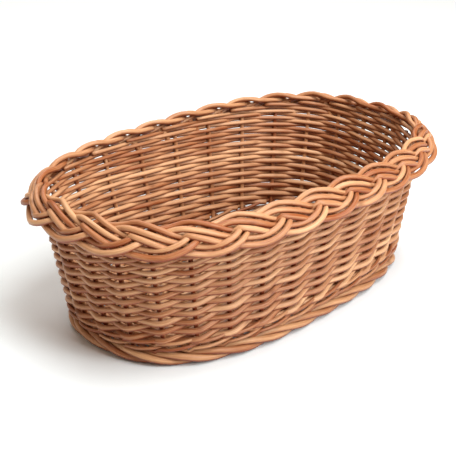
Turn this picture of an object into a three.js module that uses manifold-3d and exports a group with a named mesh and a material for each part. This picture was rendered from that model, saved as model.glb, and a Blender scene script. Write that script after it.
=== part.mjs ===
// Woven willow basket: an oval, flared fruit basket of buff willow rods, standing on z = 0.
// Millimetres, +Z up, +X along the length. The origin is the middle of the footprint, on the ground.
import * as THREE from 'three';
import { mergeVertices } from 'three/addons/utils/BufferGeometryUtils.js';
import Module from 'manifold-3d';

const wasm = await Module();
wasm.setup();

// ---- driving dimensions -------------------------------------------------------------------------
const bottomHalfLength = 158.5;   // stake line, at the ground
const bottomHalfWidth = 88.5;
const topHalfLength = 183;        // stake line, at rim height
const topHalfWidth = 107.5;
const rimHeight = 126;            // ground to the inner top edge of the border
const ovalPower = 2.62;           // 2 is an ellipse, more is squarer

const stakeCount = 28;
const stakeDiameter = 4;
const endCrowding = 0.17;         // stakes stand this much closer together round the ends
const sideDrift = 0.1;            // and this much wider apart along the +Y side than the -Y side
const stakePhase = 0.2;           // where the first stake stands, in stake spaces from the +X end

const weaveThickness = 11;        // outer stroke, stake and inner stroke
const upsettHeight = 11;          // rows of three-rod wale above the foot
const fitGap = 0.3;               // clearance between pieces that touch

const footRodDiameter = 5.4;
const footRopeRadius = 3.4;       // helix radius of the three rods of the foot rope
const footTurns = 9;              // turns of each rod round the rope in one lap
const footOutset = 2.5;           // rope centre outside the stake line
const footWear = 0.7;             // flat worn on the underside of the rope

const baseThickness = 10;
const longStickCount = 3;
const longStickDiameter = 3.6;
const longStickSpacing = 26;
const crossStickCount = 7;
const crossStickDiameter = 6.6;
const crossStickSpacing = 36;
const stickEndMargin = 4;         // from a stick's end to the edge of the base

const plaitTurns = 9;             // turns of each of the three strands in one lap
const plaitHalfWidth = 10;        // strand centre from the middle of the plait
const plaitLift = 3.6;            // strand centre above or below the middle of the plait
const strandWidth = 9;
const strandThickness = 4.6;
const plaitOutset = 6.2;          // middle of the plait outside the stake line
const plaitDrop = 11.8;           // and below the rim height
const plaitSlope = Math.PI / 4;   // the plait leans outward and down

// ---- worked out from them -----------------------------------------------------------------------
const stakeRadius = stakeDiameter / 2;
const footHeight = 2 * (footRopeRadius + footRodDiameter / 2) - footWear;
const footCentreHeight = footHeight / 2 - footWear / 2;
const bodyBottom = footHeight + fitGap;
const weaveBottom = bodyBottom + upsettHeight + fitGap;
const baseTop = bodyBottom + baseThickness;
const halfWeave = weaveThickness / 2;
const baseEdge = -halfWeave - fitGap;         // base edge, from the stake line

// ---- the oval and the wall ----------------------------------------------------------------------
function ovalRadius(angle, halfLength, halfWidth) {
  const x = Math.abs(Math.cos(angle) / halfLength) ** ovalPower;
  const y = Math.abs(Math.sin(angle) / halfWidth) ** ovalPower;
  return (x + y) ** (-1 / ovalPower);
}

// Point beside the stake line at this height, moved outward by offset.
function wallPoint(angle, height, offset = 0) {
  const rise = height / rimHeight;
  const halfLength = bottomHalfLength + (topHalfLength - bottomHalfLength) * rise;
  const halfWidth = bottomHalfWidth + (topHalfWidth - bottomHalfWidth) * rise;
  const radius = ovalRadius(angle, halfLength, halfWidth);
  const x = radius * Math.cos(angle);
  const y = radius * Math.sin(angle);
  const outward = new THREE.Vector3(
    Math.sign(x) * Math.abs(x / halfLength) ** (ovalPower - 1) / halfLength,
    Math.sign(y) * Math.abs(y / halfWidth) ** (ovalPower - 1) / halfWidth,
    0,
  ).normalize();
  const point = new THREE.Vector3(x, y, height).addScaledVector(outward, offset);
  return { point, outward };
}

// Angle at which a share of the way round the stake line has been walked, starting at +X.
const walkSteps = 1440;
const walked = [0];
for (let i = 1; i <= walkSteps; i += 1) {
  const a = wallPoint((i - 1) / walkSteps * 2 * Math.PI, rimHeight / 2).point;
  const b = wallPoint(i / walkSteps * 2 * Math.PI, rimHeight / 2).point;
  walked.push(walked[i - 1] + a.distanceTo(b));
}
function angleAt(share) {
  const lap = Math.floor(share);
  const goal = (share - lap) * walked[walkSteps];
  let i = 1;
  while (i < walkSteps && walked[i] < goal) i += 1;
  const part = (goal - walked[i - 1]) / (walked[i] - walked[i - 1]);
  return (lap + (i - 1 + part) / walkSteps) * 2 * Math.PI;
}

// Share of the way round at which a stake stands: closer round the ends, wider on one side.
function stakeShare(number) {
  const u = (number + stakePhase) / stakeCount;
  const crowd = endCrowding * Math.sin(4 * Math.PI * u) / (4 * Math.PI);
  const drift = sideDrift * (1 - Math.cos(2 * Math.PI * u)) / (2 * Math.PI);
  return u - crowd + drift;
}

// ---- solids -------------------------------------------------------------------------------------
// A closed ring swept round the basket: sectionAt(share) gives the corners of its section.
function ringGeometry(sectionAt, steps) {
  const positions = [];
  const index = [];
  const corners = sectionAt(0).length;
  for (let i = 0; i < steps; i += 1) {
    for (const corner of sectionAt(i / steps)) positions.push(corner.x, corner.y, corner.z);
  }
  for (let i = 0; i < steps; i += 1) {
    const next = (i + 1) % steps;
    for (let k = 0; k < corners; k += 1) {
      const side = (k + 1) % corners;
      const [a, b] = [i * corners + k, i * corners + side];
      const [c, d] = [next * corners + side, next * corners + k];
      index.push(a, c, b, a, d, c);
    }
  }
  const geometry = new THREE.BufferGeometry();
  geometry.setAttribute('position', new THREE.Float32BufferAttribute(positions, 3));
  geometry.setIndex(index);
  return geometry;
}

function solidOf(geometry) {
  const bare = geometry.clone();
  bare.deleteAttribute('normal');
  bare.deleteAttribute('uv');
  const merged = mergeVertices(bare, 1e-4);
  return new wasm.Manifold(new wasm.Mesh({
    numProp: 3,
    vertProperties: Float32Array.from(merged.attributes.position.array),
    triVerts: Uint32Array.from(merged.index.array),
  }));
}

function geometryOf(solid) {
  const mesh = solid.getMesh();
  const geometry = new THREE.BufferGeometry();
  geometry.setAttribute('position', new THREE.Float32BufferAttribute(mesh.vertProperties, 3));
  geometry.setIndex(Array.from(mesh.triVerts));
  return geometry;
}

// A straight rod between two points, as a geometry in place.
function rodGeometry(from, to, diameter, sides = 8) {
  const along = to.clone().sub(from);
  const rod = new THREE.CylinderGeometry(diameter / 2, diameter / 2, along.length(), sides);
  const turn = new THREE.Quaternion().setFromUnitVectors(
    new THREE.Vector3(0, 1, 0), along.clone().normalize());
  const middle = from.clone().add(to).multiplyScalar(0.5);
  return rod.applyMatrix4(new THREE.Matrix4().compose(middle, turn, new THREE.Vector3(1, 1, 1)));
}

const basket = new THREE.Group();
function addPiece(name, geometry, colour, roughness) {
  geometry.computeVertexNormals();
  const willow = new THREE.MeshStandardMaterial({ color: colour, roughness, metalness: 0 });
  const piece = new THREE.Mesh(geometry, willow);
  piece.name = name;
  basket.add(piece);
}

// ---- stakes: the uprights, from the foot rope to under the border ---------------------------------
const plaitDepth = plaitLift + strandThickness / 2 + fitGap;
// The plait's underside is a slope: this is the height at which a line that keeps this offset from
// the leaning stake line meets it.
function plaitUnderside(angle, offset) {
  const foot = wallPoint(angle, 0).point;
  const { point, outward } = wallPoint(angle, rimHeight);
  const lean = point.sub(foot).dot(outward) / rimHeight;
  const slope = Math.tan(plaitSlope);
  const above = (plaitOutset - offset) * slope - plaitDepth / Math.cos(plaitSlope);
  return rimHeight - plaitDrop + above / (1 + lean * slope);
}
const stakeLines = [];
for (let number = 0; number < stakeCount; number += 1) {
  const angle = angleAt(stakeShare(number));
  const from = wallPoint(angle, bodyBottom).point;
  const to = wallPoint(angle, plaitUnderside(angle, stakeRadius) - fitGap).point;
  stakeLines.push({ from, to });
  const name = `stake_${String(number + 1).padStart(2, '0')}`;
  addPiece(name, rodGeometry(from, to, stakeDiameter), 0xb9793f, 0.6);
}

// A channel for each stake, a little wider and longer than the stake.
function cutStakeChannels(solid) {
  let result = solid;
  for (const { from, to } of stakeLines) {
    const extra = to.clone().sub(from).normalize().multiplyScalar(4 * stakeDiameter);
    const start = from.clone().sub(extra);
    const end = to.clone().add(extra);
    const channel = rodGeometry(start, end, stakeDiameter + 2 * fitGap);
    result = result.subtract(solidOf(channel));
  }
  return result;
}

// ---- woven wall: the upsett wale, then the side weave up to the border ----------------------------
const wallSteps = 3 * stakeCount;
function wallBand(bottomAt, topAt) {
  const section = (share) => {
    const angle = angleAt(share);
    return [
      [-halfWeave, bottomAt], [halfWeave, bottomAt], [halfWeave, topAt], [-halfWeave, topAt],
    ].map(([offset, heightAt]) => wallPoint(angle, heightAt(angle, offset), offset).point);
  };
  return geometryOf(cutStakeChannels(solidOf(ringGeometry(section, wallSteps))));
}
addPiece('upsett_wale', wallBand(() => bodyBottom, () => weaveBottom - fitGap), 0xa86a36, 0.62);
addPiece('side_weave', wallBand(() => weaveBottom, plaitUnderside), 0xc88d50, 0.6);

// ---- foot rope: three thick rods twisted round each other under the wall ---------------------------
const footSteps = 12 * footTurns;
const ground = solidOf(new THREE.BoxGeometry(1000, 1000, 100).translate(0, 0, -50));
for (let rod = 0; rod < 3; rod += 1) {
  const section = (share) => {
    const twist = 2 * Math.PI * (footTurns * share + rod / 3);
    const offset = footOutset + footRopeRadius * Math.cos(twist);
    const height = footCentreHeight - footRopeRadius * Math.sin(twist);
    const corners = [];
    for (let side = 0; side < 6; side += 1) {
      const turn = side / 6 * 2 * Math.PI - twist;
      const out = footRodDiameter / 2 * Math.cos(turn);
      const up = footRodDiameter / 2 * Math.sin(turn);
      const { point } = wallPoint(angleAt(share), footCentreHeight, offset + out);
      corners.push(new THREE.Vector3(point.x, point.y, height + up));
    }
    return corners;
  };
  const rope = solidOf(ringGeometry(section, footSteps));
  addPiece(`foot_rope_rod_${rod + 1}`, geometryOf(rope.subtract(ground)), 0xb87a42, 0.58);
}

// ---- base: cross sticks, long sticks through them, and the weave over them -------------------------
const stickHeight = bodyBottom + crossStickDiameter / 2;
function baseReach(x, y) {
  const angle = Math.atan2(y, x);
  return wallPoint(angle, bodyBottom, baseEdge - stickEndMargin).point;
}
// Half the length of a stick that lies beside the middle line, so that it ends inside the base edge.
function halfStick(beside, isLong) {
  let low = 0;
  let high = bottomHalfLength;
  for (let i = 0; i < 40; i += 1) {
    const middle = (low + high) / 2;
    const [x, y] = isLong ? [middle, beside] : [beside, middle];
    const edge = baseReach(x, y);
    if (Math.hypot(x, y) < Math.hypot(edge.x, edge.y)) low = middle;
    else high = middle;
  }
  return low;
}
function stick(beside, isLong, diameter, extra = 0) {
  const half = halfStick(beside, isLong) + extra;
  const from = isLong ? [-half, beside] : [beside, -half];
  const to = isLong ? [half, beside] : [beside, half];
  return rodGeometry(
    new THREE.Vector3(...from, stickHeight), new THREE.Vector3(...to, stickHeight), diameter);
}
const longPlaces = [];
for (let i = 0; i < longStickCount; i += 1) {
  longPlaces.push((i - (longStickCount - 1) / 2) * longStickSpacing);
}
const crossPlaces = [];
for (let i = 0; i < crossStickCount; i += 1) {
  crossPlaces.push((i - (crossStickCount - 1) / 2) * crossStickSpacing);
}
const baseOutline = new THREE.Shape();
const baseSteps = 72;
for (let i = 0; i < baseSteps; i += 1) {
  const { point } = wallPoint(angleAt(i / baseSteps), bodyBottom, baseEdge);
  if (i === 0) baseOutline.moveTo(point.x, point.y);
  else baseOutline.lineTo(point.x, point.y);
}
baseOutline.closePath();
const basePlate = new THREE.ExtrudeGeometry(baseOutline, { depth: baseThickness, bevelEnabled: false });
let base = solidOf(basePlate.translate(0, 0, bodyBottom));
// Each stick lies in a groove that is open below, with the weave closed over it.
function cutGroove(solid, beside, isLong, diameter) {
  const wide = diameter + 2 * fitGap;
  const length = 2 * (halfStick(beside, isLong) + fitGap);
  const size = isLong ? [length, wide] : [wide, length];
  const place = isLong ? [0, beside] : [beside, 0];
  const top = stickHeight + wide / 2;
  const depth = top - bodyBottom + 1;
  const groove = new THREE.BoxGeometry(...size, depth).translate(...place, top - depth / 2);
  return solid.subtract(solidOf(groove));
}
longPlaces.forEach((y, i) => {
  addPiece(`base_long_stick_${i + 1}`, stick(y, true, longStickDiameter), 0xa87040, 0.65);
  base = cutGroove(base, y, true, longStickDiameter);
});
crossPlaces.forEach((x, i) => {
  let cross = solidOf(stick(x, false, crossStickDiameter));
  for (const y of longPlaces) {
    cross = cross.subtract(solidOf(stick(y, true, longStickDiameter + 2 * fitGap, 1)));
  }
  addPiece(`base_cross_stick_${i + 1}`, geometryOf(cross), 0xa06838, 0.65);
  base = cutGroove(base, x, false, crossStickDiameter);
});
addPiece('base_weave', geometryOf(base), 0xb57c46, 0.62);

// ---- border: three strands plaited round the rim ---------------------------------------------------
const plaitSteps = 14 * plaitTurns;
const across = [[-0.5, 0], [-0.28, -0.5], [0.28, -0.5], [0.5, 0], [0.28, 0.5], [-0.28, 0.5]];
for (let strand = 0; strand < 3; strand += 1) {
  const place = (share) => {
    const phase = 2 * Math.PI * (plaitTurns * share + strand / 3);
    const { point, outward } = wallPoint(angleAt(share), rimHeight - plaitDrop, plaitOutset);
    const sideways = outward.clone().multiplyScalar(Math.cos(plaitSlope));
    sideways.z = -Math.sin(plaitSlope);
    const lift = outward.clone().multiplyScalar(Math.sin(plaitSlope));
    lift.z = Math.cos(plaitSlope);
    const centre = point.clone()
      .addScaledVector(sideways, plaitHalfWidth * Math.sin(phase))
      .addScaledVector(lift, -plaitLift * Math.sin(2 * phase));
    return { centre, lift };
  };
  const section = (share) => {
    const { centre, lift } = place(share);
    const step = 0.25 / plaitSteps;
    const ahead = place(share + step).centre;
    const behind = place(share - step).centre;
    const along = ahead.sub(behind).normalize();
    const wide = along.clone().cross(lift).normalize();
    const thick = wide.clone().cross(along).normalize();
    return across.map(([w, t]) => centre.clone()
      .addScaledVector(wide, w * strandWidth)
      .addScaledVector(thick, t * strandThickness));
  };
  addPiece(`plait_strand_${strand + 1}`, ringGeometry(section, plaitSteps), 0xc98b4e, 0.55);
}

export default basket;
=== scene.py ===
import bisect
import math
import random

import bpy
import numpy as np
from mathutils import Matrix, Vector


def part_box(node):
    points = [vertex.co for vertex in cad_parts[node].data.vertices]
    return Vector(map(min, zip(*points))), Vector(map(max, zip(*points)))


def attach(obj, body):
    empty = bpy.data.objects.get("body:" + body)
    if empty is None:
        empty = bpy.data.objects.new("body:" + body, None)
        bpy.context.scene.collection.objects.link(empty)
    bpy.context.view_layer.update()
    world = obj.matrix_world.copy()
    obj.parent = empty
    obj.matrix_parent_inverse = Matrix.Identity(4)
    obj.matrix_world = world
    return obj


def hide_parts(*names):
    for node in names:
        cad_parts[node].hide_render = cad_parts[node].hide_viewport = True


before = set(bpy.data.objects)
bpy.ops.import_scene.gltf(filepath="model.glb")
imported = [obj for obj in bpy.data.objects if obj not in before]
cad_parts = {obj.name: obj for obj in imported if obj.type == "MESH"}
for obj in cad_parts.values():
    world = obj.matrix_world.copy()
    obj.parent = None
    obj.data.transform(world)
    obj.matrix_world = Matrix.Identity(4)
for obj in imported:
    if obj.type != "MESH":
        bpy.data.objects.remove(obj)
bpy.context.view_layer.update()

# ---------------------------------------------------------------------------------------------
# Studio: a pale seamless floor in warm air, a big soft lamp overhead, one to the right of the
# camera, one behind that whitens the floor, and a weak fill on the left. The camera looks down
# at the left front corner of the basket.
floor_size = 40.0
floor_gap = 0.0002
bpy.ops.mesh.primitive_plane_add(size=floor_size, location=(0, 0, -floor_gap))
floor = bpy.context.active_object
floor.name = "studio_floor"
bpy.ops.object.transform_apply(location=True)
paper = bpy.data.materials.new("pale_paper")
paper.use_nodes = True
paper_shader = paper.node_tree.nodes["Principled BSDF"]
paper_shader.inputs["Base Color"].default_value = (0.88, 0.97, 1.0, 1)
paper_shader.inputs["Roughness"].default_value = 0.9
floor.data.materials.append(paper)

air = bpy.data.worlds.new("studio_air")
bpy.context.scene.world = air
air.use_nodes = True
air.node_tree.nodes["Background"].inputs["Color"].default_value = (1, 0.66, 0.44, 1)
air.node_tree.nodes["Background"].inputs["Strength"].default_value = 0.30

look_at = Vector((-0.0117, 0.0069, 0.0530))
camera_azimuth = math.radians(-46.5)
camera_height = math.radians(23.9)
camera_distance = 0.9
towards_camera = Vector((
    math.sin(camera_azimuth) * math.cos(camera_height),
    -math.cos(camera_azimuth) * math.cos(camera_height),
    math.sin(camera_height),
))
bpy.ops.object.camera_add(location=look_at + towards_camera * camera_distance)
camera = bpy.context.active_object
camera.rotation_euler = (-towards_camera).to_track_quat("-Z", "Y").to_euler()
camera.data.lens = 81.9
camera.data.sensor_width = 36
bpy.context.scene.camera = camera
bpy.context.scene.view_settings.view_transform = "Standard"


def add_lamp(name, azimuth, height, distance, size, power):
    """A square soft lamp that faces the basket from this side."""
    away = Vector((
        math.sin(math.radians(azimuth)) * math.cos(math.radians(height)),
        -math.cos(math.radians(azimuth)) * math.cos(math.radians(height)),
        math.sin(math.radians(height)),
    ))
    bpy.ops.object.light_add(type="AREA", location=away * distance)
    lamp = bpy.context.active_object
    lamp.name = name
    lamp.data.shape = "SQUARE"
    lamp.data.size = size
    lamp.data.energy = power
    lamp.rotation_euler = away.to_track_quat("Z", "Y").to_euler()


add_lamp("overhead_softbox", azimuth=5, height=70, distance=1.6, size=0.9, power=20)
add_lamp("right_softbox", azimuth=8, height=32, distance=1.9, size=0.9, power=27)
add_lamp("left_fill", azimuth=-110, height=30, distance=2.2, size=1.2, power=2.2)
add_lamp("back_softbox", azimuth=150, height=55, distance=2.4, size=1.6, power=28)

# ---------------------------------------------------------------------------------------------
# Stakes: the uprights, single peeled willow rods about four millimetres thick. They stand at the
# edge of the base, the weave grips them, and they end under the border. Their line round the
# basket is a rounded oval that widens towards the rim.
bottom_half_length, bottom_half_width = 0.1585, 0.0885
top_half_length, top_half_width = 0.183, 0.1075
rim_height = 0.126
oval_power = 2.62
walk_steps = 1440
stake_count = 28
stake_thickness = 0.0040
stake_butt, stake_taper = 1.04, 0.1
stake_unevenness = 0.0003
stake_steps = 12
end_crowding, side_drift, stake_phase = 0.17, 0.1, 0.2


def wall_point(angle, height, offset=0.0):
    """A point beside the stake line, in this direction from the middle, moved outward."""
    rise = height / rim_height
    half_length = bottom_half_length + (top_half_length - bottom_half_length) * rise
    half_width = bottom_half_width + (top_half_width - bottom_half_width) * rise
    cosine, sine = math.cos(angle), math.sin(angle)
    reach = (abs(cosine / half_length) ** oval_power
             + abs(sine / half_width) ** oval_power) ** (-1 / oval_power)
    x, y = reach * cosine, reach * sine
    outward = Vector((
        math.copysign(abs(x / half_length) ** (oval_power - 1) / half_length, x),
        math.copysign(abs(y / half_width) ** (oval_power - 1) / half_width, y),
        0,
    )).normalized()
    return Vector((x, y, height)) + outward * offset, outward


walked = [0.0]
for step in range(1, walk_steps + 1):
    here = wall_point((step - 1) / walk_steps * math.tau, rim_height / 2)[0]
    there = wall_point(step / walk_steps * math.tau, rim_height / 2)[0]
    walked.append(walked[-1] + (there - here).length)


def angle_at(share):
    """The direction in which this share of the way round the stake line has been walked."""
    lap = math.floor(share)
    goal = (share - lap) * walked[-1]
    step = max(1, bisect.bisect_left(walked, goal))
    part = (goal - walked[step - 1]) / (walked[step] - walked[step - 1])
    return (lap + (step - 1 + part) / walk_steps) * math.tau


def stake_angle(number):
    """Direction of a stake, or of a place between two: closer together round the ends."""
    u = (number + stake_phase) / stake_count
    crowd = end_crowding * math.sin(2 * math.tau * u) / (2 * math.tau)
    drift = side_drift * (1 - math.cos(math.tau * u)) / math.tau
    return angle_at(u - crowd + drift)


def willow_skin(name, pale, deep, satin=0.45):
    """Peeled willow: fibres along the rod, a colour of its own for each rod, painted shade
    darkening the side that faces down, dark bud scars, and pale wood where a rod is cut across."""
    patch_stretch, patch_detail, patch_weight = (22, 260, 260), 3, 0.75
    fibre_stretch, fibre_detail, fibre_weight = (60, 1500, 1500), 4, 0.9
    tone_weight, level_shift = 0.62, -0.24
    # Painted shade: a dark red-brown laid over the underside of every rod, where shade falls
    # between the rows.
    underside_shade = (deep[0] * 0.7, deep[1] * 0.4, deep[2] * 0.3, 1)
    underside_shade_starts, underside_shade_full, underside_shade_strength = 0.0007, -0.0017, 0.95
    scar = (deep[0] * 0.45, deep[1] * 0.38, deep[2] * 0.35, 1)
    scar_strength = 0.7
    cut_wood = (0.80, 0.62, 0.42, 1)
    fibre_roughness = 0.3
    relief_strength, relief_depth = 0.6, 0.0004
    shine = 0.4

    skin = bpy.data.materials.new(name)
    skin.use_nodes = True
    nodes, links = skin.node_tree.nodes, skin.node_tree.links
    shader = nodes["Principled BSDF"]

    def read(attribute):
        """A value that each rod carries in its mesh."""
        node = nodes.new("ShaderNodeAttribute")
        node.attribute_name = attribute
        return node.outputs

    def stretched(scale, detail):
        """Noise drawn out along the rod."""
        place = nodes.new("ShaderNodeMapping")
        place.inputs["Scale"].default_value = scale
        links.new(grain, place.inputs["Vector"])
        noise = nodes.new("ShaderNodeTexNoise")
        noise.inputs["Scale"].default_value = 1
        noise.inputs["Detail"].default_value = detail
        links.new(place.outputs["Vector"], noise.inputs["Vector"])
        return noise.outputs["Fac"]

    def scaled(value, factor, shift=0.0):
        """The value times a factor, then shifted."""
        node = nodes.new("ShaderNodeMath")
        node.operation = "MULTIPLY_ADD"
        links.new(value, node.inputs[0])
        node.inputs[1].default_value = factor
        node.inputs[2].default_value = shift
        return node.outputs[0]

    def summed(first, second):
        """Two values added."""
        node = nodes.new("ShaderNodeMath")
        node.operation = "ADD"
        links.new(first, node.inputs[0])
        links.new(second, node.inputs[1])
        return node.outputs[0]

    def covered(under, colour, amount):
        """A fixed colour laid over the one below, as far as the amount says."""
        amount_in, under_in, colour_in, colour_out = 0, 6, 7, 2
        node = nodes.new("ShaderNodeMix")
        node.data_type = "RGBA"
        links.new(amount, node.inputs[amount_in])
        links.new(under, node.inputs[under_in])
        node.inputs[colour_in].default_value = colour
        return node.outputs[colour_out]

    grain = read("grain")["Vector"]
    patches = stretched(patch_stretch, patch_detail)
    fibres = stretched(fibre_stretch, fibre_detail)
    level = scaled(patches, patch_weight, level_shift)
    level = summed(level, scaled(read("tone")["Fac"], tone_weight))
    level = summed(level, scaled(fibres, fibre_weight, -fibre_weight / 2))
    wood = nodes.new("ShaderNodeValToRGB")
    ramp = wood.color_ramp
    ramp.elements[0].position, ramp.elements[0].color = 0.0, (*deep, 1)
    ramp.elements[1].position, ramp.elements[1].color = 1.0, (*pale, 1)
    links.new(level, wood.inputs["Fac"])

    across = nodes.new("ShaderNodeSeparateXYZ")
    links.new(grain, across.inputs[0])
    # Painted shade mask: none just above the middle of the rod, rising to full on its underside.
    below = nodes.new("ShaderNodeMapRange")
    below.interpolation_type = "SMOOTHSTEP"
    below.inputs["From Min"].default_value = underside_shade_starts
    below.inputs["From Max"].default_value = underside_shade_full
    below.inputs["To Max"].default_value = underside_shade_strength
    links.new(across.outputs["Z"], below.inputs["Value"])
    colour = covered(wood.outputs["Color"], underside_shade, below.outputs["Result"])
    colour = covered(colour, scar, scaled(read("bud")["Fac"], scar_strength))
    colour = covered(colour, cut_wood, read("cut")["Fac"])
    links.new(colour, shader.inputs["Base Color"])

    rough = scaled(fibres, fibre_roughness, satin - fibre_roughness / 2)
    links.new(rough, shader.inputs["Roughness"])
    relief = nodes.new("ShaderNodeBump")
    relief.inputs["Strength"].default_value = relief_strength
    relief.inputs["Distance"].default_value = relief_depth
    links.new(fibres, relief.inputs["Height"])
    links.new(relief.outputs["Normal"], shader.inputs["Normal"])
    shader.inputs["Specular IOR Level"].default_value = shine
    return skin


chance = random.Random(11)
first_bud, bud_spacing, bud_strength = (0.01, 0.06), (0.035, 0.085), (0.3, 1.0)
bud_swell, bud_swell_length, bud_scar_length = 0.05, 0.0035, 0.0016
scar_spread, scar_edge = 1.6, 0.4
weld_distance = 0.00002
tone_shift = 7


def lay_rod(path, thickness, sides=8):
    """One willow rod along a path: thickness at each point, bud swellings, grain along it."""
    tone = chance.random()
    path = [Vector(p) for p in path]
    along = [0.0]
    for here, there in zip(path, path[1:]):
        along.append(along[-1] + (there - here).length)
    buds = []
    place = chance.uniform(*first_bud)
    while place < along[-1]:
        buds.append((place, chance.uniform(*bud_strength), chance.uniform(0, math.tau)))
        place += chance.uniform(*bud_spacing)

    curve = bpy.data.curves.new("rod", "CURVE")
    curve.dimensions = "3D"
    curve.bevel_depth = 1.0
    curve.bevel_resolution = sides // 2 - 2
    curve.use_fill_caps = True
    spline = curve.splines.new("POLY")
    spline.points.add(len(path) - 1)
    for point, spot, size, far in zip(spline.points, path, thickness, along):
        swell = sum(b[1] * math.exp(-((far - b[0]) / bud_swell_length) ** 2) for b in buds)
        point.co = (*spot, 1)
        point.radius = size / 2 * (1 + bud_swell * swell)
    rod = bpy.data.objects.new("rod", curve)
    bpy.context.collection.objects.link(rod)
    bpy.ops.object.select_all(action="DESELECT")
    rod.select_set(True)
    bpy.context.view_layer.objects.active = rod
    bpy.ops.object.convert(target="MESH")
    bpy.ops.object.mode_set(mode="EDIT")
    bpy.ops.mesh.select_all(action="SELECT")
    bpy.ops.mesh.remove_doubles(threshold=weld_distance)
    bpy.ops.mesh.normals_make_consistent(inside=False)
    bpy.ops.object.mode_set(mode="OBJECT")
    bpy.ops.object.shade_smooth()

    # Each corner learns how far along, across and above the middle of the rod it is.
    mesh = rod.data
    spots = np.array([tuple(p) for p in path])
    far = np.array(along)
    corners = np.empty(len(mesh.vertices) * 3)
    mesh.vertices.foreach_get("co", corners)
    corners = corners.reshape(-1, 3)
    nearest = ((corners[:, None, :] - spots[None]) ** 2).sum(2).argmin(1)
    tangent = np.gradient(spots, axis=0)
    tangent /= np.linalg.norm(tangent, axis=1)[:, None] + 1e-12
    side = np.cross(tangent, (0, 0, 1))
    side /= np.linalg.norm(side, axis=1)[:, None] + 1e-9
    over = np.cross(side, tangent)
    reach = corners - spots[nearest]
    across = (reach * side[nearest]).sum(1)
    above = (reach * over[nearest]).sum(1)
    grain = np.column_stack((far[nearest] + tone_shift * tone, across, above))
    turn = np.arctan2(above, across)
    bud = np.zeros(len(corners))
    for spot, strength, facing in buds:
        near = np.exp(-((far[nearest] - spot) / bud_scar_length) ** 2)
        faced = np.clip(np.cos(turn - facing) * scar_spread - scar_edge, 0, 1)
        bud = np.maximum(bud, strength * near * faced)
    mesh.attributes.new("grain", "FLOAT_VECTOR", "POINT").data.foreach_set(
        "vector", grain.astype(np.float32).ravel())
    mesh.attributes.new("tone", "FLOAT", "POINT").data.foreach_set(
        "value", np.full(len(corners), tone, np.float32))
    mesh.attributes.new("bud", "FLOAT", "POINT").data.foreach_set(
        "value", bud.astype(np.float32))
    ends = [len(face.vertices) > 4 for face in mesh.polygons]
    mesh.attributes.new("cut", "FLOAT", "FACE").data.foreach_set(
        "value", np.array(ends, np.float32))
    for face, ended in zip(mesh.polygons, ends):
        face.use_smooth = not ended
    return rod


def make_one(name, rods, skin, replaced):
    """Rods that belong together become one piece of the basket."""
    bpy.ops.object.select_all(action="DESELECT")
    for rod in rods:
        rod.select_set(True)
    bpy.context.view_layer.objects.active = rods[0]
    if len(rods) > 1:
        bpy.ops.object.join()
    piece = bpy.context.active_object
    piece.name = name
    piece.data.name = name
    piece.data.materials.clear()
    piece.data.materials.append(skin)
    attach(piece, "root")
    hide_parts(*replaced)


stake_skin = willow_skin("stake_willow", (0.68, 0.385, 0.19), (0.24, 0.053, 0.01))
stake_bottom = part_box("stake_01")[0][2]
stake_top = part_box("stake_01")[1][2]
for number in range(stake_count):
    angle = stake_angle(number)
    path, size = [], []
    for i in range(stake_steps + 1):
        height = stake_bottom + (stake_top - stake_bottom) * i / stake_steps
        path.append(wall_point(angle, height, stake_unevenness * math.sin(5 * i + number))[0])
        size.append(stake_thickness * (stake_butt - stake_taper * i / stake_steps))
    make_one(f"upright_{number + 1:02d}", [lay_rod(path, size)], stake_skin,
             [f"stake_{number + 1:02d}"])

# ---------------------------------------------------------------------------------------------
# Side weave, French randing in peeled willow: one tapering weaver starts behind each stake,
# thick end first. Each goes in front of one stake and behind the next and climbs one row at
# every stake. Four neighbouring weavers make one piece.
weave_skin = willow_skin("weaver_willow", (0.793, 0.482, 0.259), (0.27, 0.063, 0.011))
weave_rise = 0.002
weave_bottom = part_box("side_weave")[0][2] + weave_rise
row_count = 26
row_pitch_low, row_pitch_high = 0.0043, 0.0029
first_row, last_rows = -0.8, 0.3
weaver_to_pitch = 1.2
weaver_stoutness = (0.93, 1.08)
stroke_outside, stroke_inside = 0.47, 0.34
stroke_dip = 0.25
row_unevenness, wall_unevenness = 0.00035, 0.0002
weave_steps = 7
weavers_a_piece = 4


def row_height(row):
    """Height of a row at the stakes: thick rods and tall rows below, thin above."""
    shrink = (row_pitch_low - row_pitch_high) * row ** 2 / 2 / row_count
    return weave_bottom + row_pitch_low * row - shrink


def knee(turns, sharpness=0.94):
    """In and out of the stakes: nearly straight between them, bent over each one."""
    return math.asin(sharpness * math.cos(math.pi * turns)) / math.asin(sharpness)


weavers = []
for weaver in range(stake_count):
    stout = chance.uniform(*weaver_stoutness)
    drift = [chance.uniform(-1, 1) for _ in range(row_count + 3)]
    path, size = [], []
    for i in range(int((row_count + last_rows) * weave_steps)):
        row = i / weave_steps + first_row
        taper = max(0.0, min(1.0, row / row_count))
        pitch = row_pitch_low + (row_pitch_high - row_pitch_low) * taper
        rod = pitch * weaver_to_pitch * stout
        side = knee(row)
        out = (stake_thickness + rod) * (stroke_outside if side > 0 else stroke_inside)
        before = int(i / weave_steps)
        part = i / weave_steps - before
        wobble = drift[before] * (1 - part) + drift[before + 1] * part
        height = row_height(row) - pitch * stroke_dip * (1 + side) + row_unevenness * wobble
        offset = out * side + wall_unevenness * wobble
        path.append(wall_point(stake_angle(weaver + row), height, offset)[0])
        size.append(rod)
    weavers.append(lay_rod(path, size))
for group in range(stake_count // weavers_a_piece):
    rods = weavers[group * weavers_a_piece:(group + 1) * weavers_a_piece]
    make_one(f"side_weavers_{group + 1}", rods, weave_skin, ["side_weave"])

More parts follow.
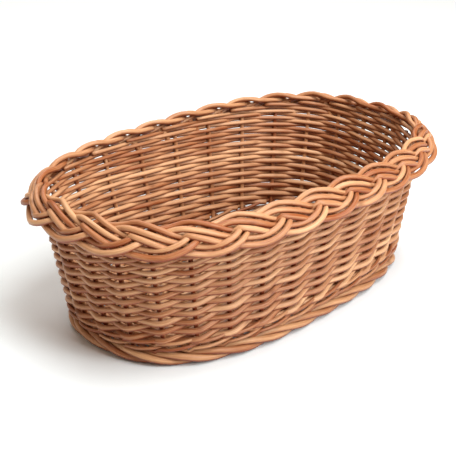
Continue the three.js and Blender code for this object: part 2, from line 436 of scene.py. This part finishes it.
# ---------------------------------------------------------------------------------------------
# Upsett: two rows of three-rod wale in thin peeled willow lock the stakes upright above the
# foot. Each rod goes in front of two stakes and behind one, over the other two on its way.
wale_skin = willow_skin("wale_willow", (0.68, 0.385, 0.19), (0.24, 0.053, 0.01))
wale_rod = 0.0029
wale_stoutness = (0.95, 1.05)
wale_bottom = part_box("upsett_wale")[0][2]
wale_rows = 2
wale_first_height, wale_rise_a_lap, wale_cross_height = 0.4, 2.0, 0.85
wale_phase = 0.2
wale_steps = 7


def wale_stroke(phase):
    """How far out and how far up a wale rod is: out over stakes 0 and 1, in behind stake 2."""
    phase %= 3
    out = 1 / 3 + 4 / 3 * math.cos(math.tau * (phase - 0.5) / 3)
    up = (phase - 0.5) if phase < 1.5 else (2 - phase) * 2
    return out, up


wales = []
for start in range(3):
    stout = chance.uniform(*wale_stoutness)
    path, size = [], []
    for i in range(wale_rows * stake_count * wale_steps + 1):
        gone = i / wale_steps
        out, up = wale_stroke(gone + wale_phase)
        rods_up = wale_first_height + wale_rise_a_lap * gone / stake_count
        height = wale_bottom + wale_rod * rods_up + up * wale_rod * wale_cross_height
        reach = (stake_thickness + wale_rod) / 2 * out
        path.append(wall_point(stake_angle(start + gone), height, reach)[0])
        size.append(wale_rod * stout)
    wales.append(lay_rod(path, size))
make_one("upsett_rows", wales, wale_skin, ["upsett_wale"])

# ---------------------------------------------------------------------------------------------
# Foot rope: three thick peeled rods laid round the bottom edge like a rope, in long slanted
# strokes, so that the basket stands on them and not on the ends of its stakes.
foot_skin = willow_skin("foot_willow", (0.731, 0.428, 0.213), (0.26, 0.059, 0.01))
foot_turns = 9
foot_rod = 0.0056
foot_unevenness = 0.05
foot_rope_radius = 0.0033
foot_outset = 0.0025
foot_clearance = 1.08
foot_middle = foot_rope_radius + foot_rod / 2 * foot_clearance
foot_steps = 14
foot_overlap_steps = 6
for start in range(3):
    path, size = [], []
    for i in range(foot_turns * foot_steps + foot_overlap_steps):
        lap = i / foot_steps / foot_turns
        twist = math.tau * (foot_turns * lap + start / 3)
        offset = foot_outset + foot_rope_radius * math.cos(twist)
        height = foot_middle - foot_rope_radius * math.sin(twist)
        path.append(wall_point(angle_at(lap), height, offset)[0])
        size.append(foot_rod * (1 + foot_unevenness * math.sin(3 * twist / 2 + start)))
    rod = lay_rod(path, size, sides=10)
    make_one(f"foot_rod_{start + 1}", [rod], foot_skin,
             [f"foot_rope_rod_{start + 1}"])

# ---------------------------------------------------------------------------------------------
# Base sticks: thick willow sticks across the basket, slit in the middle, and three long ones
# pushed through the slits. They are thickest in the middle and thinner at the ends.
stick_skin = willow_skin("stick_willow", (0.618, 0.385, 0.196), (0.33, 0.138, 0.048), 0.55)
cross_thickness, cross_taper, cross_steps = 0.0050, 0.12, 14
long_thickness, long_taper, long_steps = 0.0042, 0.1, 20
stick_places = []


def lay_stick(kind, number, axis, thickness, taper, steps):
    """A straight base stick along an axis, 0 for length and 1 for width, in its node's place."""
    low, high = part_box(f"base_{kind}_stick_{number}")
    middle = [(a + b) / 2 for a, b in zip(low, high)]
    half = (high[axis] - low[axis]) / 2
    path, size = [], []
    for i in range(steps + 1):
        spot = list(middle)
        spot[axis] = middle[axis] + half * (2 * i / steps - 1)
        path.append(spot)
        size.append(thickness * (1 - taper * abs(2 * i / steps - 1)))
    make_one(f"{kind}_stick_{number}", [lay_rod(path, size)], stick_skin,
             [f"base_{kind}_stick_{number}"])
    stick_places.append((axis, middle[1 - axis]))


for number in range(1, 8):
    lay_stick("cross", number, 1, cross_thickness, cross_taper, cross_steps)
for number in range(1, 4):
    lay_stick("long", number, 0, long_thickness, long_taper, long_steps)

# ---------------------------------------------------------------------------------------------
# Base weave: rounds of thin peeled rods from the edge to the middle, each over one stick and
# under the next, and every second round the other way about.
base_skin = willow_skin("base_willow", (0.68, 0.428, 0.23), (0.36, 0.147, 0.056))
base_low, base_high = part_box("base_weave")
base_half_length = (base_high[0] - base_low[0]) / 2
base_half_width = (base_high[1] - base_low[1]) / 2
base_rod, base_pitch = 0.0034, 0.0029
base_swing, base_sharpness = 0.0028, 0.9
base_edge, base_centre = 0.0005, 0.0010
outer_rounds, outer_power, inner_power = 12, 2.75, 3.2
outer_steps, inner_steps, overlap_steps = 150, 100, 3
long_sticks_cross_beyond = 0.11
base_rounds = int((base_half_width + base_centre) / base_pitch)
base_height = (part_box("base_cross_stick_1")[0][2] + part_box("base_cross_stick_1")[1][2]) / 2
rounds = []
for turn in range(base_rounds):
    inset = turn * base_pitch - base_edge
    half_length, half_width = base_half_length - inset, base_half_width - inset
    steps = outer_steps if turn < base_rounds // 2 else inner_steps
    power = outer_power if turn < outer_rounds else inner_power
    flat = []
    for i in range(steps):
        angle = i / steps * math.tau
        cosine, sine = math.cos(angle), math.sin(angle)
        x = half_length * math.copysign(abs(cosine) ** (2 / power), cosine)
        y = half_width * math.copysign(abs(sine) ** (2 / power), sine)
        flat.append((x, y))
    crossings = []
    for i in range(steps):
        here, there = flat[i], flat[(i + 1) % steps]
        for axis, place in stick_places:
            a, b = here[1 - axis] - place, there[1 - axis] - place
            if a * b <= 0 and a != b:
                if axis == 1 or abs(here[0]) > long_sticks_cross_beyond:
                    crossings.append(i + a / (a - b))
    crossings.sort()
    path = []
    for i in range(steps + overlap_steps):
        at = i % steps
        after = bisect.bisect(crossings, at)
        low = crossings[after - 1] if after else crossings[-1] - steps
        high = crossings[after] if after < len(crossings) else crossings[0] + steps
        part = (at - low) / (high - low)
        up = knee(part + after + turn, base_sharpness) * base_swing
        path.append((*flat[at], base_height + up))
    rounds.append(lay_rod(path, [base_rod] * len(path), sides=6))
make_one("base_rounds", rounds, base_skin, ["base_weave"])

# ---------------------------------------------------------------------------------------------
# Border: thick peeled rods come up out of the wall, bend over the rim and are plaited with
# their neighbours. Each swings a little over twice from the inside of the rim to the outside
# and back, over and under the rods that it crosses, and ends in a cut tail.
border_skin = willow_skin("border_willow", (0.762, 0.455, 0.236), (0.3, 0.072, 0.013), 0.42)
border_count = 26
border_phase = 0.1
border_rod, border_taper = 0.0050, 0.16
border_reach, border_reach_sharpness = 0.0088, 0.93
border_lift, border_lift_sharpness = 0.0024, 1.3
border_lane = 0.0056
border_lean, border_flat, border_skew = 0.13, 0.05, 0.02
border_outset = 0.0074
border_drop = 0.0099
border_start, border_end, border_steps, look_ahead = -62, 786, 12, 2
spaces_a_zigzag = 3
border_stoutness = (0.94, 1.06)
# Where a rod leaves the wall: spaces back from its first turn, depth below the rim, way out.
border_roots = ((0.35, 0.024, 0.001), (0.28, 0.016, 0.0015))

# The border hangs over the rim like a cap: its section curls down inside and slopes outside.
section_slope, section_curl = 52, 120
curl_place, curl_length = 0.014, 0.0032
section_step, section_steps = 0.0005, 40
section = {0: (0.0, 0.0)}
for side in (-1, 1):
    out, up = 0.0, 0.0
    for i in range(section_steps):
        middle = side * (i + 0.5) * section_step
        curl = section_curl * math.exp(-(middle + curl_place) / curl_length)
        slope = math.radians(section_slope - curl)
        out += side * section_step * math.cos(slope)
        up -= side * section_step * math.sin(slope)
        section[side * (i + 1)] = (out, up)


def border_place(turns, reach, lift):
    """A point of the border: turns round the rim, out over the section, and above it."""
    step = math.floor(reach / section_step)
    part = reach / section_step - step
    (out, up), (later_out, later_up) = section[step], section[step + 1]
    run, rise = (later_out - out) / section_step, (later_up - up) / section_step
    out += (later_out - out) * part - rise * lift
    up += (later_up - up) * part + run * lift
    angle = angle_at(turns / border_count)
    middle, outward = wall_point(angle, rim_height - border_drop, border_outset)
    return middle + outward * out + Vector((0, 0, up))


def border_path(number, degrees):
    """Where rod number is after this much of its zigzag, 360 degrees for three spaces."""
    swing = math.radians(degrees)
    turns = number + border_phase + spaces_a_zigzag * degrees / 360
    turns += border_lean * math.sin(swing) - border_flat * math.sin(2 * swing)
    turns -= border_skew * math.cos(2 * swing)
    bend = math.asin(border_reach_sharpness * math.sin(swing))
    reach = border_reach * bend / math.asin(border_reach_sharpness)
    over = math.tanh(border_lift_sharpness * math.sin(2 * swing))
    lift = -border_lift * over / math.tanh(border_lift_sharpness)
    return turns, reach, lift


space = walked[-1] / border_count
for number in range(border_count):
    stout = chance.uniform(*border_stoutness)
    turns = border_path(number, border_start)[0]
    path = [
        wall_point(angle_at((turns - back) / border_count), rim_height - depth, offset)[0]
        for back, depth, offset in border_roots
    ]
    size = [border_rod * stout] * len(path)
    for degrees in range(border_start, border_end, border_steps):
        turns, reach, lift = border_path(number, degrees)
        later = border_path(number, degrees + look_ahead)
        run, fall = (later[0] - turns) * space, later[1] - reach
        length = math.hypot(run, fall)
        lane = border_lane * max(-1.0, min(1.0, (degrees - 360) / 360))
        turns += lane * fall / length / space
        reach -= lane * run / length
        path.append(border_place(turns, reach, lift))
        gone = (degrees - border_start) / (border_end - border_start)
        size.append(border_rod * stout * (1 - border_taper * gone))
    rod = lay_rod(path, size, sides=10)
    make_one(f"border_rod_{number + 1:02d}", [rod], border_skin,
             [f"plait_strand_{number % 3 + 1}"])
